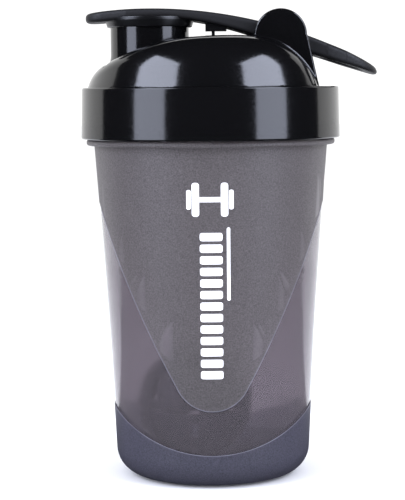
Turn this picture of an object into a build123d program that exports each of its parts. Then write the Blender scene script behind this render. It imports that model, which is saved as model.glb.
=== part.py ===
from build123d import *
import math
import os

# Protein shaker bottle: a frosted cup with a screw lid, a flip lever that plugs the
# drinking spout and the vent, and a loose two-part mixer ball inside the cup.
# Millimetres. The origin is the centre of the cup's foot, +Z is up, the spout is at -X
# and the lever's pivot and carry loop are at +X.

# Cup wall and foot
foot_wall_r = 35.7  # outer wall carried down to the foot plane
shoulder_step = 0.3  # outer wall at the collar, out from the neck
wall_bow = 0.4  # how far the wall bows inwards between the two
cup_wall = 1.6
cup_floor = 1.8
foot_corner_r = 10.0
foot_ring_w = 3.0
foot_recess = 2.6
foot_recess_draft = 1.2

# Collar and neck
collar_z = 122.9  # underside of the collar
collar_h = 2.2
collar_w = 3.1  # collar out from the neck
collar_round = 0.9
neck_r = 42.9
neck_wall = 1.8
rim_round = 0.5

# Smooth window band let into the frosted wall
window_depth = 0.4
vee_tip_z = 28.9
vee_arm_x = 12.7  # where the rounded tip runs into the arm
vee_arm_z = 37.2
vee_mid_x = 27.3
vee_mid_z = 66.8
vee_top_x = 41.2
vee_top_z = 101.7
base_arc_low_z = 12.6
base_arc_side_x = 36.5
base_arc_side_z = 26.2

# Screw thread, one start
thread_lead = 5.0
thread_turns = 1.5
ridge_h = 1.3
ridge_root = 2.3
ridge_crest = 1.2
ridge_bite = 0.4  # how far a ridge is rooted in its wall
thread_gap = 0.3  # radial clearance of crests over the facing wall
thread_start = 4.6  # first turn's centre above the collar

# Lid band
band_gap = 0.2  # between the skirt's lower edge and the collar
band_h = 18.8
band_wall = 3.0  # skirt at the seam
band_flare = 0.4  # the band is this much wider at its foot
band_top_round = 0.7
band_bottom_round = 0.5
lid_wall = 2.0
lid_plate = 2.1  # from the lid's inner face up to the seam
seal_h = 1.5
seal_w = 3.4
seal_gap = 0.4

# Dome
dome_ledge = 2.2  # dome's foot in from the band
dome_lean = 18.0  # degrees that the dome's foot leans in from upright
dome_brow_in = 4.9  # brow in from the dome's foot
dome_brow_rise = 12.0
dome_brow_normal = (0.9, 0.5)  # which way the skin faces there, out and up
dome_crown_r = 30.0
dome_crown_rise = 18.3
dome_crown_normal = (0.5, 0.9)
dome_top_rise = 20.5
arch_r = 104.3  # crown line seen from the side
arch_x = 9.0
arch_rise = 19.8
arch_end_x = 14.0
arch_reach = 35.0  # degrees that the crown line runs forwards of its top
back_x = 38.4  # flat back of the dome
back_rise = 2.0
back_mid_x = 31.7
back_mid_rise = 10.3
back_mid_normal = (0.7, 0.7)

# Trough across the dome for the lever
trough_rise = 4.8  # trough floor above the seam
trough_front_gap = 1.2  # from the spout to the trough's closed front end

# Ears and pivot
ear_gap = 0.4  # each side, from the lever to an ear
ear_w = 4.5
ear_pivot_x = 26.3
pivot_rise = 18.7
ear_over_pivot = -0.2  # from the pivot up to the centre of the ear's round top
ear_r = 9.5
ear_foot_x = 39.4
ear_front_x = 12.0
ear_front_rise = 9.7
trunnion_r = 1.9
trunnion_len = 2.0
trunnion_fit = 0.08

# Spout and its cap
spout_x = -22.2
spout_r = 14.5
spout_wall = 2.2
spout_top_rise = 24.3
cap_wall = 1.6
cap_top_rise = 25.9
cap_skirt_rise = 22.0
cap_taper = 0.8
cap_round = 0.5
cap_gap = 0.3
liner_h = 0.6
plug_gap = 0.3
plug_depth = 2.4
plug_wall = 1.4

# Vent
vent_x = 1.3
vent_boss_r = 3.0
vent_bore_r = 1.3
vent_boss_rise = 15.0
vent_block_w = 7.8
vent_block_x = 2.3
vent_block_rise = 20.5
vent_block_h = 6.0  # before it is cut to the lever's underside
vent_stem_r = 0.6
vent_bulb_r = 1.9
vent_bulb_h = 1.4

# Flip lever
lever_arc_r = 168.0
lever_top_rise = 28.6
lever_front_x = -45.6
lever_back_x = 61.5
lever_half = 12.6
lever_thumb_half = 9.5
thumb_corner_r = 5.7
loop_half = 16.5
loop_end_half = 13.5
loop_corner_r = 9.0
loop_neck_x = 42.5
loop_wide_x = 49.5
hole_front_x = 41.0
hole_back_x = 56.0
hole_half = 10.8
hole_corner_r = 6.5
pad_in = 1.0  # pad on the cap, in from the lever's side
pad_h = 1.0
lever_under = (  # underside line: along X, height over the seam
    (-45.6, 23.5),
    (-22.8, 25.2),
    (2.0, 22.6),
    (20.0, 17.3),
    (38.0, 11.3),
    (60.6, 3.9),
)

# Mixer ball
ball_r = 21.2
ball_wall = 1.7
ball_x = -6.8
ball_gap = 1.6  # open slot round the equator
ball_slots = 8
ball_slot_w = 3.2
ball_slot_low = 4.0  # slot's end beside the equator
ball_slot_high = 16.0
ball_lugs = 4
lug_turn = 22.5  # degrees, so that each lug stands between two slots
lug_w = 5.0
lug_t = 1.5
lug_h = 4.0
lug_gap = 0.05

# Heights and radii that follow from the sizes above
skirt_z = collar_z + collar_h + band_gap
seam_z = skirt_z + band_h
lid_top_z = seam_z - lid_plate
rim_z = lid_top_z - seal_h
shoulder_r = neck_r + shoulder_step
collar_r = neck_r + collar_w
skirt_in_r = neck_r + ridge_h + thread_gap
band_top_r = skirt_in_r + band_wall
band_bottom_r = band_top_r + band_flare
dome_foot_r = band_top_r - dome_ledge
trough_z = seam_z + trough_rise
floor_z = foot_recess + cup_floor
pivot = (ear_pivot_x, 0, seam_z + pivot_rise)
spout_top_z = seam_z + spout_top_rise
ear_in_y = lever_half + ear_gap
ear_out_y = ear_in_y + ear_w
trough_half = ear_out_y - lid_wall / 2
spout_bore_r = spout_r - spout_wall
cap_r = spout_r + cap_gap + cap_wall
far = 80.0  # reach of a cutting solid well past the lid


def revolved(outline):
    """A solid turned about Z from edges drawn in the XZ plane."""
    return revolve(make_face(Plane.XZ * outline), Axis.Z)


def along_y(outline, half, middle=0.0):
    """A plate of a side outline, drawn in X and Z, centred on middle in Y."""
    face = make_face(Plane.XZ * outline)
    return Pos(0, middle, 0) * extrude(face, half, both=True)


def disc(radius, low, high, x=0.0):
    """A plain upright cylinder between two heights."""
    return Pos(x, 0, (low + high) / 2) * Cylinder(radius, high - low)


def block(x_range, y_range, z_range):
    """A box given by its limits."""
    low, high = zip(x_range, y_range, z_range)
    size = [b - a for a, b in zip(low, high)]
    middle = [(a + b) / 2 for a, b in zip(low, high)]
    return Pos(*middle) * Box(*size)


def wall_solid(inset, bottom, corner):
    """The tapered, slightly waisted body of the cup, shrunk inwards by inset."""
    low = (foot_wall_r - inset, bottom)
    high = (shoulder_r - inset, collar_z)
    waist = ((low[0] + high[0]) / 2 - wall_bow, (low[1] + high[1]) / 2)
    outline = (
        Line((0, bottom), low)
        + ThreePointArc(low, waist, high)
        + Line(high, (0, collar_z))
        + Line((0, collar_z), (0, bottom))
    )
    body = revolved(outline)
    return fillet(body.edges().filter_by(GeomType.CIRCLE).sort_by(Axis.Z)[:1], corner)


def helix_ridge(wall_r, outwards, start_z):
    """A helical ridge of trapezoidal section, rooted in a wall of radius wall_r."""
    sign = 1 if outwards else -1
    root_x = wall_r - sign * ridge_bite
    crest_x = wall_r + sign * ridge_h
    section = Polyline(
        (root_x, start_z - ridge_root / 2),
        (crest_x, start_z - ridge_crest / 2),
        (crest_x, start_z + ridge_crest / 2),
        (root_x, start_z + ridge_root / 2),
        close=True,
    )
    path = Pos(0, 0, start_z) * Helix(thread_lead, thread_lead * thread_turns, wall_r)
    return sweep(make_face(Plane.XZ * section), path=path, is_frenet=True)


def window_band():
    """Side view of the smooth band: under the vee and over the base's arc."""
    reach = 2 * shoulder_r
    tip = vee_tip_z
    right_arm = (vee_arm_x, vee_arm_z)
    left_arm = (-vee_arm_x, vee_arm_z)
    right_top = (vee_top_x, vee_top_z)
    left_top = (-vee_top_x, vee_top_z)
    right_low = (base_arc_side_x, base_arc_side_z)
    left_low = (-base_arc_side_x, base_arc_side_z)
    outline = (
        ThreePointArc(left_arm, (0, tip), right_arm)
        + ThreePointArc(right_arm, (vee_mid_x, vee_mid_z), right_top)
        + Polyline(right_top, (reach, vee_top_z), (reach, base_arc_side_z), right_low)
        + ThreePointArc(right_low, (0, base_arc_low_z), left_low)
        + Polyline(left_low, (-reach, base_arc_side_z), (-reach, vee_top_z), left_top)
        + ThreePointArc(left_top, (-vee_mid_x, vee_mid_z), left_arm)
    )
    return along_y(outline, reach)


def cup():
    body = wall_solid(0, 0, foot_corner_r)
    body += disc(neck_r, collar_z, rim_z)
    collar = disc(collar_r, collar_z, collar_z + collar_h)
    body += fillet(collar.edges().filter_by(GeomType.CIRCLE), collar_round)
    skin = wall_solid(0, 0, foot_corner_r) - wall_solid(
        window_depth, -window_depth, foot_corner_r
    )
    body -= skin & window_band()
    body -= wall_solid(cup_wall, floor_z, foot_corner_r - cup_wall)
    body -= disc(neck_r - neck_wall, collar_z, rim_z)
    rim = body.edges().filter_by(GeomType.CIRCLE).group_by(Axis.Z)[-1]
    body = fillet(rim, rim_round)
    recess_r = foot_wall_r - foot_corner_r - foot_ring_w
    body -= Pos(0, 0, foot_recess / 2) * Cone(
        recess_r, recess_r - foot_recess_draft, foot_recess
    )
    return body + helix_ridge(neck_r, True, collar_z + collar_h + thread_start)


def shrunk(out, rise, normal, inset):
    """A point of an outline over the seam, moved inwards against the skin's normal."""
    return (out - normal[0] * inset, seam_z + rise - normal[1] * inset)


def arch_outline(inset):
    """Side view of the dome, from its crown line to its flat back."""
    top = seam_z + arch_rise - inset
    radius = arch_r - inset
    centre_z = top - radius
    front = arch_x - radius * math.sin(math.radians(arch_reach))
    front_z = centre_z + radius * math.cos(math.radians(arch_reach))
    end_x = arch_end_x
    end_z = centre_z + math.sqrt(radius**2 - (end_x - arch_x) ** 2)
    back = back_x - inset
    back_z = seam_z + back_rise - inset
    mid = shrunk(back_mid_x, back_mid_rise, back_mid_normal, inset)
    base = skirt_z
    return (
        ThreePointArc((front, front_z), (arch_x, top), (end_x, end_z))
        + ThreePointArc((end_x, end_z), mid, (back, back_z))
        + Polyline((back, back_z), (back, base), (front, base), (front, front_z))
    )


def dome(inset):
    """The dome's closed outer form, shrunk inwards by inset."""
    lean = math.radians(dome_lean)
    foot = (dome_foot_r - inset, seam_z)
    brow = shrunk(dome_foot_r - dome_brow_in, dome_brow_rise, dome_brow_normal, inset)
    crown = shrunk(dome_crown_r, dome_crown_rise, dome_crown_normal, inset)
    top = (0, seam_z + dome_top_rise - inset)
    tangents = ((-math.sin(lean), math.cos(lean)), (-1, 0))
    outline = (
        Line((0, skirt_z), (foot[0], skirt_z))
        + Line((foot[0], skirt_z), foot)
        + Spline(foot, brow, crown, top, tangents=tangents)
        + Line(top, (0, skirt_z))
    )
    return revolved(outline) & along_y(arch_outline(inset), far)


def ear(side):
    """One upright ear beside the lever, with the blind dimple for a trunnion."""
    circle = Pos(ear_pivot_x, pivot[2] + ear_over_pivot) * Circle(ear_r)
    foot = Polyline(
        (ear_front_x, seam_z + ear_front_rise),
        (ear_front_x, seam_z),
        (ear_foot_x, seam_z),
    )
    outline = make_hull(circle.edges() + foot.edges())
    half = (ear_out_y - ear_in_y) / 2
    middle = side * (ear_in_y + ear_out_y) / 2
    return along_y(outline, half, middle)


def outer_ring(body, level):
    """The widest round edge at one level of a body, counted from its foot."""
    rings = body.edges().filter_by(GeomType.CIRCLE).group_by(Axis.Z)[level]
    return rings.sort_by(SortBy.RADIUS)[-1:]


def lid():
    band = revolved(
        Polyline(
            (skirt_in_r, skirt_z),
            (band_bottom_r, skirt_z),
            (band_top_r, seam_z),
            (0, seam_z),
            (0, lid_top_z),
            (skirt_in_r, lid_top_z),
            close=True,
        )
    )
    band = fillet(outer_ring(band, -1), band_top_round)
    band = fillet(outer_ring(band, 0), band_bottom_round)
    front_x = spout_x - spout_r - trough_front_gap
    trough = block((front_x, far), (-trough_half, trough_half), (trough_z, far + trough_z))
    trough_wall = block(
        (front_x - lid_wall, far),
        (-trough_half - lid_wall, trough_half + lid_wall),
        (trough_z - lid_wall, trough_z + far),
    )
    above = block((-far, far), (-far, far), (seam_z, seam_z + far))
    outer = (dome(0) & above) - trough
    body = band + outer
    for side in (-1, 1):
        body += ear(side)
    inner = dome(lid_wall) - trough_wall
    body -= inner & block((-far, far), (-far, far), (lid_top_z - lid_wall, seam_z + far))
    body += disc(spout_r, trough_z - lid_wall, spout_top_z, spout_x)
    body += disc(vent_boss_r, trough_z - lid_wall, seam_z + vent_boss_rise, vent_x)
    body -= disc(spout_bore_r, skirt_z, spout_top_z, spout_x)
    body -= disc(vent_bore_r, skirt_z, seam_z + vent_boss_rise, vent_x)
    reach = ear_in_y + trunnion_len + trunnion_fit
    dimple = Cylinder(trunnion_r + trunnion_fit, 2 * reach, rotation=(90, 0, 0))
    body -= Pos(*pivot) * dimple
    ridge_z = collar_z + collar_h + thread_start - thread_lead / 2
    return body + helix_ridge(skirt_in_r, False, ridge_z)


def lid_seal():
    outer = disc(neck_r + seal_gap, rim_z, lid_top_z)
    return outer - disc(neck_r + seal_gap - seal_w, rim_z, lid_top_z)


def lever_side():
    """Side view of the lever: one long arc on top, a thicker root at the pivot."""
    centre_z = seam_z + lever_top_rise - lever_arc_r

    def top_at(x):
        return centre_z + math.sqrt(lever_arc_r**2 - (x - spout_x) ** 2)

    front = (lever_front_x, top_at(lever_front_x))
    back = (lever_back_x, top_at(lever_back_x))
    under = [(x, seam_z + rise) for x, rise in lever_under]
    return (
        ThreePointArc(front, (spout_x, top_at(spout_x)), back)
        + Line(back, under[-1])
        + Spline(*under)
        + Line(under[0], front)
    )


def lever_plan():
    """Top view of the lever: a rounded thumb tab, a parallel arm and the carry loop."""
    half = (
        (lever_front_x, lever_thumb_half),
        (spout_x - cap_r / 2, lever_half),
        (loop_neck_x, lever_half),
        (loop_wide_x, loop_half),
        (lever_back_x, loop_end_half),
    )
    points = [(x, -y) for x, y in half] + [(x, y) for x, y in reversed(half)]
    face = make_face(Polyline(*points, close=True))
    ends = face.vertices().sort_by(Axis.X)
    face = fillet(ends[:2], thumb_corner_r)
    face = fillet(face.vertices().sort_by(Axis.X)[-2:], loop_corner_r)
    hole_x = (hole_front_x + hole_back_x) / 2
    hole = RectangleRounded(hole_back_x - hole_front_x, 2 * hole_half, hole_corner_r)
    return face - Pos(hole_x, 0) * hole


def flip_lever():
    arm = along_y(lever_side(), far) & extrude(lever_plan(), seam_z + far)
    cap_top = seam_z + cap_top_rise
    arm -= disc(cap_r + cap_gap, seam_z, cap_top, spout_x)
    arm += disc(lever_half - pad_in, cap_top, cap_top + pad_h, spout_x)
    length = 2 * (ear_in_y + trunnion_len)
    return arm + Pos(*pivot) * Cylinder(trunnion_r, length, rotation=(90, 0, 0))


def spout_cap():
    top = seam_z + cap_top_rise
    low = seam_z + cap_skirt_rise
    cap = revolved(
        Polyline(
            (0, top),
            (cap_r, top),
            (cap_r, low + cap_taper),
            (cap_r - cap_taper, low),
            (0, low),
            close=True,
        )
    )
    cap = fillet(cap.edges().filter_by(GeomType.CIRCLE).sort_by(Axis.Z)[-1:], cap_round)
    cap -= disc(spout_r + cap_gap, low, spout_top_z + liner_h)
    return Pos(spout_x, 0, 0) * cap


def cap_liner():
    """Soft liner: a washer on the spout's rim with a plug ring that enters the bore."""
    plug_r = spout_bore_r - plug_gap
    liner = disc(spout_r + cap_gap, spout_top_z, spout_top_z + liner_h)
    liner += disc(plug_r, spout_top_z - plug_depth, spout_top_z)
    liner -= disc(plug_r - plug_wall, spout_top_z - plug_depth, spout_top_z)
    return Pos(spout_x, 0, 0) * liner


def vent_plug():
    low = seam_z + vent_block_rise
    top = low + vent_block_h
    boss_top = seam_z + vent_boss_rise
    half = vent_block_w / 2
    plug = block((vent_block_x - half, vent_block_x + half), (-half, half), (low, top))
    plug -= flip_lever()
    plug = plug.solids().sort_by(Axis.Z)[0]
    plug += disc(vent_stem_r, boss_top, low, vent_x)
    bulb = Pos(vent_x, 0, boss_top + vent_bulb_h / 2) * Cone(
        vent_bulb_r, vent_stem_r, vent_bulb_h
    )
    return plug + bulb


def ball_half(side):
    """One half of the mixer ball, side 1 above the equator and -1 below it."""
    shell = Sphere(ball_r) - Sphere(ball_r - ball_wall)
    keep_low, keep_high = sorted((side * ball_gap / 2, side * 2 * ball_r))
    shell &= block((-far, far), (-far, far), (keep_low, keep_high))
    for index in range(ball_slots):
        low, high = sorted((side * ball_slot_low, side * ball_slot_high))
        slot = block((0, 2 * ball_r), (-ball_slot_w / 2, ball_slot_w / 2), (low, high))
        shell -= Rot(0, 0, 360 * index / ball_slots) * slot
    return shell


def lug_ring(gap):
    """Four short lugs that bridge the equator inside the ball's wall."""
    outer_r = ball_r - ball_wall - gap
    ring = disc(outer_r, -lug_h, lug_h) - disc(outer_r - lug_t, -lug_h, lug_h)
    lugs = Part()
    for index in range(ball_lugs):
        sector = block((0, 2 * ball_r), (-lug_w / 2, lug_w / 2), (-lug_h, lug_h))
        lugs += ring & (Rot(0, 0, lug_turn + 360 * index / ball_lugs) * sector)
    return lugs & Sphere(ball_r - ball_wall - gap)


def ball_upper():
    return Pos(ball_x, 0, floor_z + ball_r) * ball_half(1)


def ball_lower():
    lower = ball_half(-1)
    root = lug_ring(-lug_gap) & block((-far, far), (-far, far), (-lug_h, -ball_gap / 2))
    return Pos(ball_x, 0, floor_z + ball_r) * (lower + lug_ring(lug_gap) + root)


pieces = {
    "cup": cup,
    "lid": lid,
    "lid_seal": lid_seal,
    "flip_lever": flip_lever,
    "spout_cap": spout_cap,
    "cap_liner": cap_liner,
    "vent_plug": vent_plug,
    "mixer_ball_upper": ball_upper,
    "mixer_ball_lower": ball_lower,
}

os.makedirs("parts", exist_ok=True)
for node, build in pieces.items():
    export_step(build(), f"parts/{node}.step")
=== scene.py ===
"""Looks of a screw-lid shaker bottle: moulded plastics, a printed badge and a white studio."""

import math

import bmesh
import bpy
import numpy as np
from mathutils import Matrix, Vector


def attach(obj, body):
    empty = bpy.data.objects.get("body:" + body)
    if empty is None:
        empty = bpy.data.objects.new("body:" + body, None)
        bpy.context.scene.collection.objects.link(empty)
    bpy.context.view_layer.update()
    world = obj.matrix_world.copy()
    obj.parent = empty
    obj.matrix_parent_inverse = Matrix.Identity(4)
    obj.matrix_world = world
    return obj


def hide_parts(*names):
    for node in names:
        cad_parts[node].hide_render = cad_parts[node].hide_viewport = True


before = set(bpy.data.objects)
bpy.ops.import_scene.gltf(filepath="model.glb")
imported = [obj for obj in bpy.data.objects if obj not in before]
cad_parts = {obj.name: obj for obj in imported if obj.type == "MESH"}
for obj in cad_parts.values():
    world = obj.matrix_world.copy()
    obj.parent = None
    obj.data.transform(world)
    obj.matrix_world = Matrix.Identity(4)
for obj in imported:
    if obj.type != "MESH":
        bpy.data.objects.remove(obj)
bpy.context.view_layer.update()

bl_info = {
    "name": "Shaker bottle",
    "version": (1, 0, 0),
    "blender": (4, 5, 0),
    "location": "3D View > Sidebar > Shaker",
    "description": "Finishes, badge and studio for a screw-lid shaker bottle",
    "category": "Object",
}

MM = 0.001

# Millimetres, heights of the lid measured from the seam between its band and its dome
SEAM = 144.1
BAND_TOP_R, BAND_LOW_R, SKIRT_IN_R, BAND_H = 47.5, 47.9, 44.5, 18.8
PLATE, WALL = 2.1, 2.0
THREAD_LEAD, THREAD_TURNS, THREAD_H, THREAD_Z = 5.0, 1.5, 1.3, -16.9
THREAD_BITE, THREAD_ROOT_HALF, THREAD_CREST_HALF = 0.3, 1.15, 0.6
DOME_FOOT_R, DOME_LEAN, CROWN_RISE, CROWN_R = 45.3, 20.0, 20.5, 215.0
ARCH_X, ARCH_R, ARCH_RISE = 9.0, 104.3, 19.8
BACK_X, BACK_RISE, BACK_R = 9.5, -11.9, 31.8
TROUGH_X, TROUGH_HALF, TROUGH_RISE = -37.9, 16.5, 4.8
SPOUT_X, SPOUT_R, SPOUT_BORE_R, SPOUT_RISE = -22.2, 14.5, 12.3, 24.3
VENT_X, VENT_R, VENT_BORE_R, VENT_RISE = 1.3, 3.0, 1.3, 15.0
EAR_IN, EAR_OUT, EAR_X, EAR_RISE, EAR_R = 13.0, 17.5, 25.6, 18.5, 9.5
EAR_FRONT, EAR_FOOT_X = (12.0, 9.7), 39.4
PIVOT_X, PIVOT_RISE, TRUNNION_R, TRUNNION_FIT = 26.3, 18.7, 1.9, 0.08
TRUNNION_Y = 15.0
LEVER_R, LEVER_RISE = 168.0, 28.6
LEVER_UNDER = ((-45.6, 23.5), (-22.8, 25.2), (2.0, 22.6), (20.0, 17.3), (38.0, 11.3), (60.6, 3.9))
LEVER_PLAN = ((-45.6, 9.5), (-30.3, 12.6), (42.5, 12.6), (49.5, 16.5), (61.5, 13.5))
THUMB_ROUND, LOOP_ROUND, HOLE_X, HOLE_HALF, HOLE_ROUND = 5.7, 9.0, 48.5, (7.5, 10.8), 6.5
CAP_R, CAP_TOP, CAP_LOW, CAP_TAPER, CAP_GAP = 16.4, 25.9, 22.0, 0.8, 0.3
CUP_FOOT_R, CUP_TOP_R, CUP_TOP_Z, CUP_BOW = 35.7, 43.2, 122.9, 0.4
WINDOW_STEP, WINDOW_LOW_Z = 0.4, 11.0
VEE_TIP_Z, VEE_ARM, VEE_MID, VEE_TOP = 28.9, (12.7, 37.2), (27.3, 66.8), (40.6, 100.5)
FOOT_LOW_Z, FOOT_SIDE = 12.6, (36.5, 26.2)
FOOT_TINT_TOP, FOOT_TINT_LOW = 28.5, 26.5
LIP_R, INK_LIFT, INK_THICK = 0.11, 0.04, 0.05

# Millimetres of rounding where two faces of the lid or the lever meet
CROWN_ROUND, ARCH_ROUND, TROUGH_ROUND, EAR_ROUND, EAR_ROOT_ROUND = 9.0, 3.0, 1.2, 0.8, 1.0
SPOUT_ROUND, SPOUT_ROOT_ROUND, BORE_ROUND = 1.2, 2.4, 0.8
VENT_ROUND, VENT_ROOT_ROUND, VENT_BORE_ROUND, LEVER_ROUND = 0.8, 1.6, 0.4, 1.6

# A blend this many times a square corner's radius rounds the corner as much as the radius does
CORNER_BLEND, LEVER_SIDE_SLOPE = 1.17, 0.97

# The studio, in metres and degrees, and its lens in millimetres
FLOOR_DROP, FLOOR_R = 0.0002, 6.0
TENT_R, TENT_H, TENT_GROUND, TENT_CENTRE_Y = 1.7, 1.4, 0.001, 0.06
TENT_HALF_ANGLE, PANEL_TURN, PANEL_REACH = 112, 79, 0.7
CAMERA_BACK, CAMERA_LENS_MM, CAMERA_SENSOR_MM = 0.65, 125.6, 36.0


def linear(hex_colour):
    """An sRGB hex colour as the linear RGBA that a shader works in."""
    channels = [int(hex_colour[i : i + 2], 16) / 255 for i in (1, 3, 5)]
    low, high = 12.92, 1.055
    return tuple(
        c / low if c <= 0.04045 else ((c + 0.055) / high) ** 2.4 for c in channels
    ) + (1.0,)


# Sizes and colours a user would change


class ShakerSizes(bpy.types.PropertyGroup):
    frost_grain: bpy.props.FloatProperty(
        name="Frost grain",
        description="Spacing of the blasted grain moulded into the cup",
        default=0.5 * MM,
        unit="LENGTH",
    )
    lever_grain: bpy.props.FloatProperty(
        name="Lever grain",
        description="Spacing of the spark-eroded grain on the lever",
        default=0.7 * MM,
        unit="LENGTH",
    )
    badge_width: bpy.props.FloatProperty(
        name="Badge width",
        description="Width of the printed column of bars",
        default=8.0 * MM,
        unit="LENGTH",
    )


class ShakerColours(bpy.types.PropertyGroup):
    cup: bpy.props.FloatVectorProperty(
        name="Cup",
        description="Tint of the smoke-grey cup",
        default=linear("#6A6566"),
        size=4,
        subtype="COLOR",
    )
    foot: bpy.props.FloatVectorProperty(
        name="Foot",
        description="Tint of the cup's thicker frosted foot",
        default=linear("#575665"),
        size=4,
        subtype="COLOR",
    )
    # Pale colour of the lip: a painted highlight, standing in for the light that the rounded lip
    # catches
    lip: bpy.props.FloatVectorProperty(
        name="Lip",
        description="Pale tint of the lip round the window band",
        default=linear("#A5A3B4"),
        size=4,
        subtype="COLOR",
    )
    window: bpy.props.FloatVectorProperty(
        name="Window",
        description="Tint of the cup's smooth window band",
        default=linear("#9C959B"),
        size=4,
        subtype="COLOR",
    )
    lid: bpy.props.FloatVectorProperty(
        name="Lid",
        description="Black of the polished lid",
        default=linear("#09090A"),
        size=4,
        subtype="COLOR",
    )
    lever: bpy.props.FloatVectorProperty(
        name="Lever",
        description="Black of the textured lever",
        default=linear("#100F10"),
        size=4,
        subtype="COLOR",
    )
    ball: bpy.props.FloatVectorProperty(
        name="Mixer ball",
        description="Grey of the mixer ball",
        default=linear("#2C2C34"),
        size=4,
        subtype="COLOR",
    )
    badge: bpy.props.FloatVectorProperty(
        name="Badge",
        description="White of the printed badge",
        default=linear("#F4F4F4"),
        size=4,
        subtype="COLOR",
    )


# Shader helpers


def new_material(name):
    """An empty material with its shader and output."""
    material = bpy.data.materials.new(name)
    material.use_nodes = True
    tree = material.node_tree
    return material, tree, tree.nodes["Principled BSDF"]


def add_node(tree, kind, settings=None, **links):
    """A node with its settings, and its inputs set or linked by name or number."""
    node = tree.nodes.new(kind)
    for key, value in (settings or {}).items():
        setattr(node, key, value)
    for key, value in links.items():
        socket = node.inputs[int(key[1:])] if key[1:].isdigit() else node.inputs[key.replace("_", " ")]
        if isinstance(value, bpy.types.NodeSocket):
            tree.links.new(value, socket)
        else:
            socket.default_value = value
    return node


def set_shader(shader, **values):
    """Sets the shader's own sockets by name."""
    for key, value in values.items():
        shader.inputs[key.replace("_", " ")].default_value = value


def moulded_abs(name, colour, smoothest, roughest):
    """Injection-moulded ABS, or polypropylene for the ball: a clear gloss, faint waves from
    shrinkage and a little dust and rubbing that only roughen the reflections."""
    material, tree, shader = new_material(name)
    set_shader(shader, IOR=1.53, Metallic=0.0, Base_Color=colour)
    place = add_node(tree, "ShaderNodeTexCoord").outputs["Object"]
    waves = add_node(tree, "ShaderNodeTexNoise", Vector=place, Scale=1 / (14 * MM), Detail=1.0)
    dust = add_node(tree, "ShaderNodeTexNoise", Vector=place, Scale=1 / (0.8 * MM), Detail=3.0)
    rough = add_node(
        tree,
        "ShaderNodeMapRange",
        Value=dust.outputs["Fac"],
        From_Min=0.35,
        From_Max=0.75,
        To_Min=smoothest,
        To_Max=roughest,
    )
    tree.links.new(rough.outputs["Result"], shader.inputs["Roughness"])
    bump = add_node(
        tree,
        "ShaderNodeBump",
        Height=waves.outputs["Fac"],
        Strength=0.25,
        Distance=0.05 * MM,
    )
    tree.links.new(bump.outputs["Normal"], shader.inputs["Normal"])
    return material


def textured_pp(colour, grain):
    """Black polypropylene from a spark-eroded mould: an even fine grain that spreads
    every highlight into a soft grey sheen. It is drawn coarser than the real one, to show."""
    material, tree, shader = new_material("spark_textured_pp")
    set_shader(shader, IOR=1.49, Base_Color=colour)
    place = add_node(tree, "ShaderNodeTexCoord").outputs["Object"]
    pits = add_node(tree, "ShaderNodeTexNoise", Vector=place, Scale=1 / grain, Detail=4.0)
    rough = add_node(
        tree,
        "ShaderNodeMapRange",
        Value=pits.outputs["Fac"],
        From_Min=0.3,
        From_Max=0.7,
        To_Min=0.5,
        To_Max=0.65,
    )
    tree.links.new(rough.outputs["Result"], shader.inputs["Roughness"])
    bump = add_node(
        tree,
        "ShaderNodeBump",
        Height=pits.outputs["Fac"],
        Strength=0.6,
        Distance=0.12 * MM,
    )
    tree.links.new(bump.outputs["Normal"], shader.inputs["Normal"])
    return material


def wall_step(tree, place):
    """1 where the surface lies in from the cup's outer skin, 0 on the skin itself."""
    split = add_node(tree, "ShaderNodeSeparateXYZ", Vector=place)
    flat = add_node(tree, "ShaderNodeVectorMath", {"operation": "MULTIPLY"}, i0=place, i1=(1, 1, 0))
    radius = add_node(tree, "ShaderNodeVectorMath", {"operation": "LENGTH"}, i0=flat.outputs["Vector"])

    def calculate(kind, a, b):
        return add_node(tree, "ShaderNodeMath", {"operation": kind}, i0=a, i1=b).outputs[0]

    share = calculate("DIVIDE", split.outputs["Z"], CUP_TOP_Z * MM)
    rest = calculate("SUBTRACT", 1.0, share)
    bow = calculate("MULTIPLY", calculate("MULTIPLY", share, rest), 4 * CUP_BOW * MM)
    line = calculate("MULTIPLY", share, (CUP_TOP_R - CUP_FOOT_R) * MM)
    skin = calculate("SUBTRACT", calculate("ADD", line, CUP_FOOT_R * MM), bow)
    depth = calculate("SUBTRACT", skin, radius.outputs["Value"])
    step = add_node(
        tree,
        "ShaderNodeMapRange",
        Value=depth,
        From_Min=0.25 * WINDOW_STEP * MM,
        From_Max=0.75 * WINDOW_STEP * MM,
    )
    over_foot = calculate("GREATER_THAN", split.outputs["Z"], WINDOW_LOW_Z * MM)
    return calculate("MULTIPLY", step.outputs["Result"], over_foot)


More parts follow.
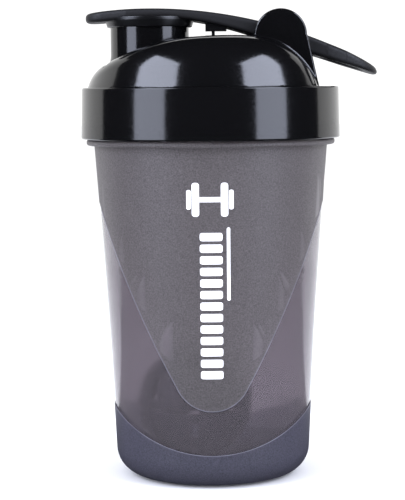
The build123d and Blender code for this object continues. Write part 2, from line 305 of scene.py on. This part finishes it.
def frosted_pp(colour, window_colour, foot_colour, grain):
    """Smoke-grey translucent polypropylene. The blasted part of the mould leaves a fine
    grain that scatters light, so things inside show only as soft shadows. The window band
    is from a polished part of the mould: smoother, so lighter and clearer. The grain is
    drawn coarser than the real one, to show."""
    material, tree, shader = new_material("frosted_pp")
    set_shader(shader, IOR=1.49, Specular_IOR_Level=0.25)
    place = add_node(tree, "ShaderNodeTexCoord").outputs["Object"]
    step = wall_step(tree, place)
    skin = add_node(tree, "ShaderNodeTexNoise", Vector=place, Scale=1 / grain, Detail=4.0)
    fleck = add_node(
        tree, "ShaderNodeMapRange", Value=skin.outputs["Fac"], From_Min=0.3, From_Max=0.7,
        To_Min=0.6, To_Max=1.4,
    )
    height = add_node(tree, "ShaderNodeSeparateXYZ", Vector=place).outputs["Z"]
    foot = add_node(
        tree, "ShaderNodeMapRange", Value=height, From_Min=FOOT_TINT_TOP * MM,
        From_Max=FOOT_TINT_LOW * MM,
    )
    outer = add_node(
        tree, "ShaderNodeMixRGB", Fac=foot.outputs["Result"], Color1=colour, Color2=foot_colour
    )
    frosted = add_node(
        tree, "ShaderNodeVectorMath", {"operation": "SCALE"}, i0=outer.outputs["Color"],
        Scale=fleck.outputs["Result"],
    )
    tint = add_node(
        tree, "ShaderNodeMixRGB", Fac=step, Color1=frosted.outputs["Vector"], Color2=window_colour
    )
    tree.links.new(tint.outputs["Color"], shader.inputs["Base Color"])
    rough = add_node(tree, "ShaderNodeMapRange", Value=step, To_Min=0.48, To_Max=0.14)
    tree.links.new(rough.outputs["Result"], shader.inputs["Roughness"])
    clear = add_node(tree, "ShaderNodeMapRange", Value=step, To_Min=0.6, To_Max=0.9)
    tree.links.new(clear.outputs["Result"], shader.inputs["Transmission Weight"])
    depth = add_node(tree, "ShaderNodeMapRange", Value=step, To_Min=0.35, To_Max=0.0)
    bump = add_node(
        tree, "ShaderNodeBump", Height=skin.outputs["Fac"], Strength=depth.outputs["Result"],
        Distance=0.015 * MM,
    )
    tree.links.new(bump.outputs["Normal"], shader.inputs["Normal"])
    return material


def mould_lip(colour):
    """The rounded lip at the window's edge. Its pale colour is a painted highlight: it paints the
    light that the lip catches as a thin pale line.
    """
    material, tree, shader = new_material("lip_painted_highlight_pp")
    set_shader(shader, IOR=1.49, Roughness=0.3, Transmission_Weight=0.5)
    place = add_node(tree, "ShaderNodeTexCoord").outputs["Object"]
    # Noise that makes the painted highlight brighter and darker in patches along the lip
    highlight_patches = add_node(tree, "ShaderNodeTexNoise", Vector=place, Scale=1 / (6 * MM), Detail=2.0)
    shade = add_node(
        tree, "ShaderNodeMixRGB", Fac=highlight_patches.outputs["Fac"], Color1=colour,
        Color2=[0.6 * c for c in colour[:3]] + [1.0],
    )
    tree.links.new(shade.outputs["Color"], shader.inputs["Base Color"])
    return material


def screen_ink(colour):
    """White screen ink: a flat, slightly chalky film with pinholes too fine to count."""
    material, tree, shader = new_material("screen_ink")
    set_shader(shader, IOR=1.5, Specular_IOR_Level=0.3)
    place = add_node(tree, "ShaderNodeTexCoord").outputs["Object"]
    chalk = add_node(tree, "ShaderNodeTexNoise", Vector=place, Scale=1 / (0.6 * MM), Detail=3.0)
    shade = add_node(
        tree,
        "ShaderNodeMixRGB",
        Fac=chalk.outputs["Fac"],
        Color1=colour,
        Color2=[0.9 * c for c in colour[:3]] + [1.0],
    )
    tree.links.new(shade.outputs["Color"], shader.inputs["Base Color"])
    rough = add_node(
        tree, "ShaderNodeMapRange", Value=chalk.outputs["Fac"], To_Min=0.5, To_Max=0.7
    )
    tree.links.new(rough.outputs["Result"], shader.inputs["Roughness"])
    return material


def silicone(name, hex_colour):
    """Moulded silicone: soft satin with a dusty bloom."""
    material, tree, shader = new_material(name)
    set_shader(shader, IOR=1.41, Base_Color=linear(hex_colour))
    place = add_node(tree, "ShaderNodeTexCoord").outputs["Object"]
    bloom = add_node(tree, "ShaderNodeTexNoise", Vector=place, Scale=1 / (1.5 * MM), Detail=3.0)
    rough = add_node(
        tree,
        "ShaderNodeMapRange",
        Value=bloom.outputs["Fac"],
        To_Min=0.45,
        To_Max=0.65,
    )
    tree.links.new(rough.outputs["Result"], shader.inputs["Roughness"])
    return material


def paint(node, material):
    """Gives a CAD node its finish."""
    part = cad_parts[node]
    part.data.materials.clear()
    part.data.materials.append(material)


def new_object(name, mesh):
    made = bpy.data.objects.new(name, mesh)
    bpy.context.scene.collection.objects.link(made)
    return made


def finish_piece(piece, material, body, slot, *nodes):
    """Gives a new piece its finish and body, and the CAD nodes that it stands for. The slot is not
    used.
    """
    piece.data.materials.append(material)
    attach(piece, body)
    if nodes:
        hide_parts(*nodes)


# Geometry helpers


def smooth_max(a, b, round_over):
    """The larger of two fields, with the crease between them rounded over."""
    near = np.maximum(round_over - np.abs(a - b), 0) / round_over
    return np.maximum(a, b) + near * near * round_over / 4


def smooth_min(a, b, round_over):
    return -smooth_max(-a, -b, round_over)


def slope(field, points, reach=0.02):
    """Gradient of a field at points, by central differences."""
    rows = []
    for axis in range(3):
        shift = np.zeros(3)
        shift[axis] = reach
        rows.append((field(*(points + shift).T) - field(*(points - shift).T)) / (2 * reach))
    return np.array(rows).T


def surface(name, field, low, high, step):
    """Mesh of the zero surface of a field: one vertex in each grid cell that it crosses."""
    axes = [np.arange(a, b + step, step) for a, b in zip(low, high)]
    grid = np.meshgrid(*axes, indexing="ij")
    value = field(*grid)
    cells = tuple(n - 1 for n in value.shape)
    total, count = np.zeros(cells + (3,)), np.zeros(cells)
    for axis in range(3):
        others = [a for a in range(3) if a != axis]
        for i in (0, 1):
            for j in (0, 1):
                start = [0, 0, 0]
                start[others[0]], start[others[1]] = i, j
                at = tuple(slice(o, o + n) for o, n in zip(start, cells))
                start[axis] = 1
                to = tuple(slice(o, o + n) for o, n in zip(start, cells))
                a, b = value[at], value[to]
                crossed = (a < 0) != (b < 0)
                share = np.where(crossed, a / np.where(crossed, a - b, 1), 0)
                for k in range(3):
                    middle = grid[k][at] + share * (grid[k][to] - grid[k][at])
                    total[..., k] += np.where(crossed, middle, 0)
                count += crossed
    used = count > 0
    index = np.full(cells, -1)
    index[used] = np.arange(used.sum())
    points = total[used] / count[used][:, None]
    quads = []
    for axis in range(3):
        one, two = (axis + 1) % 3, (axis + 2) % 3
        a = np.moveaxis(value, (axis, one, two), (0, 1, 2))
        order = np.moveaxis(index, (axis, one, two), (0, 1, 2))
        inside = a < 0
        crossed = inside[:-1, 1:-1, 1:-1] != inside[1:, 1:-1, 1:-1]
        i, j, k = np.nonzero(crossed)
        ring = [order[i, j + u, k + v] for u, v in ((0, 0), (1, 0), (1, 1), (0, 1))]
        quad = np.array(ring).T
        outward = inside[:-1, 1:-1, 1:-1][i, j, k]
        quads.append(np.where(outward[:, None], quad, quad[:, ::-1]))
    for _ in range(3):
        rise = slope(field, points)
        steep = np.maximum((rise * rise).sum(1), 0.1)
        move = rise * (field(*points.T) / steep)[:, None]
        points = points - np.clip(move, -step / 2, step / 2)
    rise = slope(field, points, 0.1)
    mesh = bpy.data.meshes.new(name)
    placed = (points + (0, 0, SEAM)) * MM
    mesh.from_pydata(placed, [], np.concatenate(quads))
    mesh.shade_smooth()
    length = np.maximum(np.linalg.norm(rise, axis=1), 1e-6)
    mesh.normals_split_custom_set_from_vertices(rise / length[:, None])
    return new_object(name, mesh)


def rounded(corners, steps=5):
    """Outline points from (across, up, radius) corners, each corner turned by an arc."""
    points = []
    for i, (x, z, radius) in enumerate(corners):
        here = Vector((x, z))
        before = (Vector(corners[i - 1][:2]) - here).normalized()
        after = (Vector(corners[(i + 1) % len(corners)][:2]) - here).normalized()
        if not radius:
            points.append(here)
            continue
        half = before.angle(after) / 2
        reach = radius / math.tan(half)
        centre = here + (before + after).normalized() * (radius / math.sin(half))
        first, last = here + before * reach - centre, here + after * reach - centre
        for k in range(steps + 1):
            points.append(centre + first.lerp(last, k / steps).normalized() * radius)
    return points


def lathe(name, outline, x=0.0, segments=256):
    """A closed outline in millimetres over the seam, turned about the upright through x."""
    mesh = bpy.data.meshes.new(name)
    rings = []
    for k in range(segments):
        angle = 2 * math.pi * k / segments
        rings += [
            ((x + r * math.cos(angle)) * MM, r * math.sin(angle) * MM, (SEAM + z) * MM)
            for r, z in outline
        ]
    n = len(outline)
    faces = [
        tuple(
            ring % segments * n + spot % n
            for ring, spot in ((k, i), (k + 1, i), (k + 1, i + 1), (k, i + 1))
        )
        for k in range(segments)
        for i in range(n)
    ]
    mesh.from_pydata(rings, [], faces)
    mesh.shade_smooth()
    mesh.set_sharp_from_angle(angle=math.radians(32))
    return new_object(name, mesh)


def thread(name, wall_r, start_z):
    """The lid's inside thread: a ridge that climbs the skirt by one lead a turn."""
    mesh = bpy.data.meshes.new(name)
    section = (
        (THREAD_BITE, -THREAD_ROOT_HALF),
        (-THREAD_H, -THREAD_CREST_HALF),
        (-THREAD_H, THREAD_CREST_HALF),
        (THREAD_BITE, THREAD_ROOT_HALF),
    )
    steps = int(96 * THREAD_TURNS)
    points, faces = [], []
    for k in range(steps + 1):
        turn = THREAD_TURNS * k / steps
        angle = 2 * math.pi * turn
        for out, up in section:
            r, z = wall_r + out, SEAM + start_z + up + THREAD_LEAD * turn
            points.append((r * math.cos(angle) * MM, r * math.sin(angle) * MM, z * MM))
    for k in range(steps):
        for i in range(4):
            j = (i + 1) % 4
            faces.append((4 * k + i, 4 * k + j, 4 * k + 4 + j, 4 * k + 4 + i))
    faces += [(3, 2, 1, 0), tuple(4 * steps + i for i in range(4))]
    mesh.from_pydata(points, [], faces)
    return new_object(name, mesh)


def join(first, *others):
    """One object out of several."""
    with bpy.context.temp_override(
        active_object=first, selected_editable_objects=[first, *others]
    ):
        bpy.ops.object.join()
    return first


def dome_field(x, y, z):
    """The dome's outer form: a cone under a shallow crown, cut by an arch and a round back."""
    r = np.hypot(x, y)
    up = np.maximum(z, 0)
    lean = math.radians(DOME_LEAN)
    cone = (r - DOME_FOOT_R) * math.cos(lean) + up * math.sin(lean)
    crown = np.sqrt(r * r + (z - CROWN_RISE + CROWN_R) ** 2) - CROWN_R
    arch = np.hypot(x - ARCH_X, z - ARCH_RISE + ARCH_R) - ARCH_R
    outer = smooth_max(smooth_max(cone, crown, CROWN_ROUND), arch, ARCH_ROUND)
    back = np.hypot(np.maximum(x - BACK_X, 0), up - BACK_RISE) - BACK_R
    outer = smooth_max(outer, back, ARCH_ROUND)
    trough = np.maximum(np.maximum(TROUGH_X - x, np.abs(y) - TROUGH_HALF), TROUGH_RISE - z)
    return smooth_max(outer, -trough, TROUGH_ROUND)


def ear_outline(x, z):
    """Side view of an ear: a round top on straight flanks down to the dome's foot."""
    field = np.hypot(x - EAR_X, z - EAR_RISE) - EAR_R
    flanks = np.maximum(-z, EAR_FRONT[0] - x)
    for (px, pz), side in ((EAR_FRONT, 1), ((EAR_FOOT_X, 0.0), -1)):
        reach = math.hypot(EAR_X - px, EAR_RISE - pz)
        along = math.atan2(EAR_RISE - pz, EAR_X - px) + side * math.asin(EAR_R / reach)
        normal = (-side * math.sin(along), side * math.cos(along))
        flanks = np.maximum(flanks, (x - px) * normal[0] + (z - pz) * normal[1])
    return np.minimum(field, np.maximum(flanks, z - EAR_RISE))


def tube_field(x, y, z, centre, radius, top, round_over):
    side = np.hypot(x - centre, y) - radius
    return smooth_max(side, z - top, round_over)


def lid_field(x, y, z):
    """The lid over its seam: the dome with ears, spout and vent boss, hollow below."""
    outer = dome_field(x, y, z)
    ears = smooth_max(ear_outline(x, z), np.abs(y) - EAR_OUT, EAR_ROUND)
    ears = smooth_max(ears, EAR_IN - np.abs(y), EAR_ROUND)
    pin = np.maximum(
        np.hypot(x - PIVOT_X, z - PIVOT_RISE) - TRUNNION_R - TRUNNION_FIT,
        np.abs(y) - TRUNNION_Y - TRUNNION_FIT,
    )
    solid = smooth_min(outer, np.maximum(ears, -pin), EAR_ROOT_ROUND)
    hollow = np.maximum(outer + WALL, -z - 2 * PLATE)
    solid = np.maximum(solid, -hollow)
    foot = np.maximum(-z - PLATE, 0)
    spout = tube_field(x, y, z, SPOUT_X, SPOUT_R, SPOUT_RISE, SPOUT_ROUND)
    spout = np.maximum(spout, TROUGH_RISE - WALL - z)
    boss = tube_field(x, y, z, VENT_X, VENT_R, VENT_RISE, VENT_ROUND)
    boss = np.maximum(boss, TROUGH_RISE - WALL - z)
    solid = smooth_min(smooth_min(solid, spout, SPOUT_ROOT_ROUND), boss, VENT_ROOT_ROUND)
    solid = smooth_max(solid, SPOUT_BORE_R - np.hypot(x - SPOUT_X, y), BORE_ROUND)
    solid = smooth_max(solid, VENT_BORE_R - np.hypot(x - VENT_X, y), VENT_BORE_ROUND)
    return np.maximum(solid, foot + -z - PLATE)


def lever_field(x, y, z):
    """The lever: one long arc on top, a shaped underside, a tab, an arm and a loop."""
    top = np.hypot(x - SPOUT_X, z - LEVER_RISE + LEVER_R) - LEVER_R
    line = np.polyfit(*np.array(LEVER_UNDER).T, 5)
    under = (np.polyval(line, x) - z) / np.hypot(1, np.polyval(np.polyder(line), x))
    plan_x, plan_y = np.array(LEVER_PLAN).T
    side = (np.abs(y) - np.interp(x, plan_x, plan_y)) * LEVER_SIDE_SLOPE
    plan = smooth_max(side, plan_x[0] - x, THUMB_ROUND * CORNER_BLEND)
    plan = smooth_max(plan, x - plan_x[-1], LOOP_ROUND * CORNER_BLEND)
    qx = np.abs(x - HOLE_X) - HOLE_HALF[0] + HOLE_ROUND
    qy = np.abs(y) - HOLE_HALF[1] + HOLE_ROUND
    hole = np.hypot(np.maximum(qx, 0), np.maximum(qy, 0)) + np.minimum(np.maximum(qx, qy), 0)
    plan = np.maximum(plan, HOLE_ROUND - hole)
    arm = smooth_max(smooth_max(top, plan, LEVER_ROUND), under, LEVER_ROUND)
    pin = np.maximum(np.hypot(x - PIVOT_X, z - PIVOT_RISE) - TRUNNION_R, np.abs(y) - TRUNNION_Y)
    return np.minimum(arm, pin)


def wall_radius(z):
    """Radius of the cup's outside at a height in millimetres."""
    share = z / CUP_TOP_Z
    bow = 4 * CUP_BOW * share * (1 - share)
    return CUP_FOOT_R + (CUP_TOP_R - CUP_FOOT_R) * share - bow


def arc(first, middle, last, steps=24):
    """Points of the circle's arc through three points."""
    (ax, ay), (bx, by), (cx, cy) = first, middle, last
    d = 2 * (ax * (by - cy) + bx * (cy - ay) + cx * (ay - by))
    a, b, c = ax * ax + ay * ay, bx * bx + by * by, cx * cx + cy * cy
    ux = (a * (by - cy) + b * (cy - ay) + c * (ay - by)) / d
    uy = (a * (cx - bx) + b * (ax - cx) + c * (bx - ax)) / d
    start, end = math.atan2(ay - uy, ax - ux), math.atan2(cy - uy, cx - ux)
    mid = math.atan2(by - uy, bx - ux)
    full = 2 * math.pi
    sweep, part = (end - start) % full, (mid - start) % full
    if part > sweep:
        sweep -= full
    r = math.hypot(ax - ux, ay - uy)
    turns = [start + sweep * k / steps for k in range(steps + 1)]
    return [(ux + r * math.cos(t), uy + r * math.sin(t)) for t in turns]


def vee_path():
    """The vee's edge from the upper left, round its tip and up to the right."""
    arm = [(-x, z) for x, z in arc(VEE_ARM, VEE_MID, VEE_TOP)]
    tip = arc((-VEE_ARM[0], VEE_ARM[1]), (0.0, VEE_TIP_Z), VEE_ARM)
    return arm[:0:-1] + tip + [(-x, z) for x, z in arm[1:]]


def foot_path():
    """The upper edge of the frosted foot across one side of the cup."""
    x, z = FOOT_SIDE
    return arc((-x, z), (0.0, FOOT_LOW_Z), (x, z), 48)


def printed_bar(left, right, low, high, corner):
    """Points and faces of one rounded bar of ink laid on the front of the cup."""
    columns, ends = 10, 6
    turn = [math.pi / 2 * k / ends for k in range(ends + 1)]
    rows = [(low + corner * (1 - math.cos(a)), corner * (1 - math.sin(a))) for a in turn]
    middle = max(1, int((high - low - 2 * corner) / 2))
    flat = [low + corner + (high - low - 2 * corner) * k / middle for k in range(1, middle)]
    rows += [(z, 0.0) for z in flat]
    rows += [(high - corner * (1 - math.cos(a)), corner * (1 - math.sin(a))) for a in reversed(turn)]
    points = []
    for z, inset in rows:
        for k in range(columns + 1):
            x = left + inset + (right - left - 2 * inset) * k / columns
            r = wall_radius(z) + INK_LIFT
            points.append((x * MM, -math.sqrt(r * r - x * x) * MM, z * MM))
    n = columns + 1
    faces = [
        (i * n + k, i * n + k + 1, (i + 1) * n + k + 1, (i + 1) * n + k)
        for i in range(len(rows) - 1)
        for k in range(columns)
    ]
    return points, faces


# Operators: one for each piece or group of like pieces


class SHAKER_OT_cup(bpy.types.Operator):
    """Frosts the cup"""

    bl_idname = "shaker.cup"
    bl_label = "Cup"

    def execute(self, context):
        sizes, colours = context.scene.shaker_sizes, context.scene.shaker_colours
        paint("cup", frosted_pp(colours.cup, colours.window, colours.foot, sizes.frost_grain))
        line = bpy.data.curves.new("mould_line", "CURVE")
        line.dimensions = "3D"
        line.bevel_depth = LIP_R * MM
        for side in (-1, 1):
            for path in (vee_path(), foot_path()):
                spline = line.splines.new("POLY")
                spline.points.add(len(path) - 1)
                for point, (x, z) in zip(spline.points, path):
                    r = wall_radius(z)
                    y = math.sqrt(max(r * r - x * x, 0))
                    point.co = (x * MM, side * y * MM, z * MM, 1)
        bead = new_object("mould_line", line)
        finish_piece(bead, mould_lip(colours.lip), "cup", "frosted_cup")
        return {"FINISHED"}


class SHAKER_OT_lid(bpy.types.Operator):
    """Polishes the lid and the spout's cap"""

    bl_idname = "shaker.lid"
    bl_label = "Lid and spout cap"

    def execute(self, context):
        colour = context.scene.shaker_colours.lid
        gloss = moulded_abs("polished_abs", colour, 0.09, 0.17)
        satin = moulded_abs("satin_abs", colour, 0.28, 0.36)
        band = lathe(
            "lid_band",
            rounded(
                (
                    (SKIRT_IN_R, -BAND_H, 0.3),
                    (BAND_LOW_R, -BAND_H, 0.6),
                    (BAND_TOP_R, 0.0, 0.7),
                    (DOME_FOOT_R - WALL, 0.0, 0),
                    (DOME_FOOT_R - WALL, -PLATE, 0),
                    (SKIRT_IN_R, -PLATE, 0),
                )
            ),
        )
        band = join(band, thread("lid_thread", SKIRT_IN_R, THREAD_Z))
        dome = surface("lid_dome", lid_field, (-46, -46, -1.5), (46, 46, 30), 0.6)
        for piece in (band, dome):
            finish_piece(piece, gloss, "lid", "lid_gloss", "lid")
        low, top = (SPOUT_R + CAP_GAP, CAP_LOW), (SPOUT_R + CAP_GAP, SPOUT_RISE + 0.6)
        cap = lathe(
            "spout_cap_visual",
            rounded(
                (
                    (*low, 0.2),
                    (CAP_R - CAP_TAPER, CAP_LOW, 0.5),
                    (CAP_R, CAP_LOW + 2.6, 1.5),
                    (CAP_R, CAP_TOP, 0.5),
                    (0.01, CAP_TOP, 0),
                    (0.01, top[1], 0),
                    (*top, 0),
                )
            ),
            x=SPOUT_X,
        )
        finish_piece(cap, satin, "lever", "cap_gloss", "spout_cap")
        return {"FINISHED"}


class SHAKER_OT_lever(bpy.types.Operator):
    """Textures the flip lever"""

    bl_idname = "shaker.lever"
    bl_label = "Flip lever"

    def execute(self, context):
        sizes, colours = context.scene.shaker_sizes, context.scene.shaker_colours
        arm = surface("lever_arm", lever_field, (-47.5, -18, 2), (62.5, 18, 30), 0.55)
        grained = textured_pp(colours.lever, sizes.lever_grain)
        finish_piece(arm, grained, "lever", "lever_matte", "flip_lever")
        return {"FINISHED"}


class SHAKER_OT_seals(bpy.types.Operator):
    """Finishes the soft seals and plugs"""

    bl_idname = "shaker.seals"
    bl_label = "Seals and plugs"

    def execute(self, context):
        clear = silicone("natural_silicone", "#C9C9C6")
        paint("lid_seal", clear)
        paint("cap_liner", clear)
        paint("vent_plug", silicone("black_silicone", "#1C1C1E"))
        return {"FINISHED"}


class SHAKER_OT_ball(bpy.types.Operator):
    """Finishes both halves of the mixer ball"""

    bl_idname = "shaker.ball"
    bl_label = "Mixer ball"

    def execute(self, context):
        material = moulded_abs("moulded_pp", context.scene.shaker_colours.ball, 0.2, 0.35)
        paint("mixer_ball_upper", material)
        paint("mixer_ball_lower", material)
        return {"FINISHED"}


class SHAKER_OT_badge(bpy.types.Operator):
    """Prints a plain gauge and a dumbbell sign on the front of the cup"""

    bl_idname = "shaker.badge"
    bl_label = "Print"

    def execute(self, context):
        # Left, right, low, high and corner radius of each bar in millimetres: the sign, the line
        bars = [
            (-4.4, 3.6, 104.0, 105.8, 0.3),
            (-6.8, -4.2, 98.9, 110.8, 1.0),
            (3.4, 6.0, 98.9, 110.8, 1.0),
            (-8.7, -7.1, 101.4, 108.3, 0.7),
            (6.3, 7.9, 101.4, 108.3, 0.7),
            (5.4, 6.6, 69.0, 95.0, 0.5),
        ]
        half = context.scene.shaker_sizes.badge_width / MM / 2
        rows, first, pitch, bar_h, corner, centre = 13, 40.8, 4.12, 2.9, 0.8, -0.1
        for k in range(rows):
            low = first + pitch * k
            bars.append((centre - half, centre + half, low, low + bar_h, corner))
        points, faces = [], []
        for bar in bars:
            spots, quads = printed_bar(*bar)
            faces += [tuple(i + len(points) for i in quad) for quad in quads]
            points += spots
        mesh = bpy.data.meshes.new("print_ink")
        mesh.from_pydata(points, [], faces)
        mesh.shade_smooth()
        ink = new_object("print_ink", mesh)
        film = ink.modifiers.new("film", "SOLIDIFY")
        film.thickness = INK_THICK * MM
        film.offset = 1.0
        finish_piece(ink, screen_ink(context.scene.shaker_colours.badge), "cup", "frosted_cup")
        return {"FINISHED"}


class SHAKER_OT_stage(bpy.types.Operator):
    """Builds the floor, lights, world and camera"""

    bl_idname = "shaker.stage"
    bl_label = "Studio"

    def execute(self, context):
        scene = context.scene
        build_floor()
        build_world(scene)
        build_lights()
        build_camera(scene)
        scene.view_settings.view_transform = "Standard"
        return {"FINISHED"}


def build_floor():
    mesh = bpy.data.meshes.new("floor")
    shape = bmesh.new()
    bmesh.ops.create_circle(shape, cap_ends=True, segments=96, radius=FLOOR_R)
    shape.to_mesh(mesh)
    shape.free()
    floor = new_object("floor", mesh)
    material, _, shader = new_material("pale_floor")
    set_shader(shader, Base_Color=linear("#F7F7F8"), Roughness=0.6, Specular_IOR_Level=0.2)
    mesh.materials.append(material)
    floor.location.z = -FLOOR_DROP


def build_world(scene):
    world = bpy.data.worlds.new("white_sweep")
    scene.world = world
    world.use_nodes = True
    background = world.node_tree.nodes["Background"]
    background.inputs["Color"].default_value = linear("#FFFFFF")
    background.inputs["Strength"].default_value = 1.15


def build_lights():
    """A low and a high softbox on each side, in a black tent with an open white back."""
    turn, reach = math.radians(PANEL_TURN), PANEL_REACH
    panels = (("low", 0.443, 0.49, -0.357, 0.255, 3.5), ("high", 0.66, 0.55, -0.34, 0.775, 10.5))
    for side in (-1, 1):
        for name, width, height, across, middle, power in panels:
            data = bpy.data.lights.new(f"softbox_{name}", "AREA")
            data.shape = "RECTANGLE"
            data.size = width
            data.size_y = height
            data.energy = power
            data.color = (0.77, 0.82, 1.0)
            lamp = bpy.data.objects.new(f"softbox_{name}", data)
            x = reach * math.sin(turn) + across * math.cos(turn)
            y = -reach * math.cos(turn) + across * math.sin(turn)
            lamp.location = (side * x, y, middle)
            lamp.rotation_euler = (math.radians(90), 0, side * turn)
            lamp.visible_camera = False
            bpy.context.scene.collection.objects.link(lamp)
    mesh = bpy.data.meshes.new("black_tent")
    shape = bmesh.new()
    columns, half = 96, math.radians(TENT_HALF_ANGLE)
    low_ring, high_ring = [], []
    for i in range(columns):
        angle = 2 * math.pi * i / columns - math.pi
        x, y = TENT_R * math.sin(angle), -TENT_R * math.cos(angle)
        high_ring.append(shape.verts.new((x, y, TENT_H)))
        low_ring.append((angle, shape.verts.new((x, y, TENT_GROUND))))
    shape.faces.new(high_ring)
    centre = shape.verts.new((0, TENT_CENTRE_Y, TENT_GROUND))
    for i in range(columns - 1):
        (a, low), (b, next_low) = low_ring[i], low_ring[i + 1]
        if abs(a) <= half and abs(b) <= half:
            shape.faces.new((low, next_low, high_ring[i + 1], high_ring[i]))
            shape.faces.new((centre, next_low, low))
    shape.to_mesh(mesh)
    shape.free()
    tent = new_object("black_tent", mesh)
    material, _, shader = new_material("black_felt")
    set_shader(shader, Base_Color=linear("#050505"), Roughness=1.0, Specular_IOR_Level=0.0)
    mesh.materials.append(material)
    tent.visible_camera = False
    tent.visible_diffuse = False
    tent.visible_transmission = False
    tent.visible_shadow = False


def build_camera(scene):
    """A long lens level with the lid's seam, pitched down onto the bottle."""
    data = bpy.data.cameras.new("camera")
    camera = bpy.data.objects.new("camera", data)
    scene.collection.objects.link(camera)
    data.lens = CAMERA_LENS_MM
    data.sensor_width = CAMERA_SENSOR_MM
    camera.location = (0.0, -CAMERA_BACK, SEAM * MM)
    camera.rotation_mode = "XYZ"
    pitch, roll, pan = math.radians(5.34), math.radians(0.5), math.radians(0.25)
    camera.rotation_euler = (math.radians(90) - pitch, roll, pan)
    scene.camera = camera


class SHAKER_PT_panel(bpy.types.Panel):
    """Sidebar list of the bottle's pieces"""

    bl_label = "Shaker bottle"
    bl_idname = "SHAKER_PT_panel"
    bl_space_type = "VIEW_3D"
    bl_region_type = "UI"
    bl_category = "Shaker"

    def draw(self, context):
        for group in (context.scene.shaker_sizes, context.scene.shaker_colours):
            for name in group.__annotations__:
                self.layout.prop(group, name)
        for operator in OPERATORS:
            self.layout.operator(operator.bl_idname)


OPERATORS = (
    SHAKER_OT_cup,
    SHAKER_OT_lid,
    SHAKER_OT_lever,
    SHAKER_OT_seals,
    SHAKER_OT_ball,
    SHAKER_OT_badge,
    SHAKER_OT_stage,
)
CLASSES = (ShakerSizes, ShakerColours, *OPERATORS, SHAKER_PT_panel)


def register():
    for entry in CLASSES:
        bpy.utils.register_class(entry)
    bpy.types.Scene.shaker_sizes = bpy.props.PointerProperty(type=ShakerSizes)
    bpy.types.Scene.shaker_colours = bpy.props.PointerProperty(type=ShakerColours)


def unregister():
    del bpy.types.Scene.shaker_colours
    del bpy.types.Scene.shaker_sizes
    for entry in reversed(CLASSES):
        bpy.utils.unregister_class(entry)


def main():
    register()
    bpy.ops.shaker.cup()
    bpy.ops.shaker.lid()
    bpy.ops.shaker.lever()
    bpy.ops.shaker.seals()
    bpy.ops.shaker.ball()
    bpy.ops.shaker.badge()
    bpy.ops.shaker.stage()


if __name__ == "__main__":
    main()
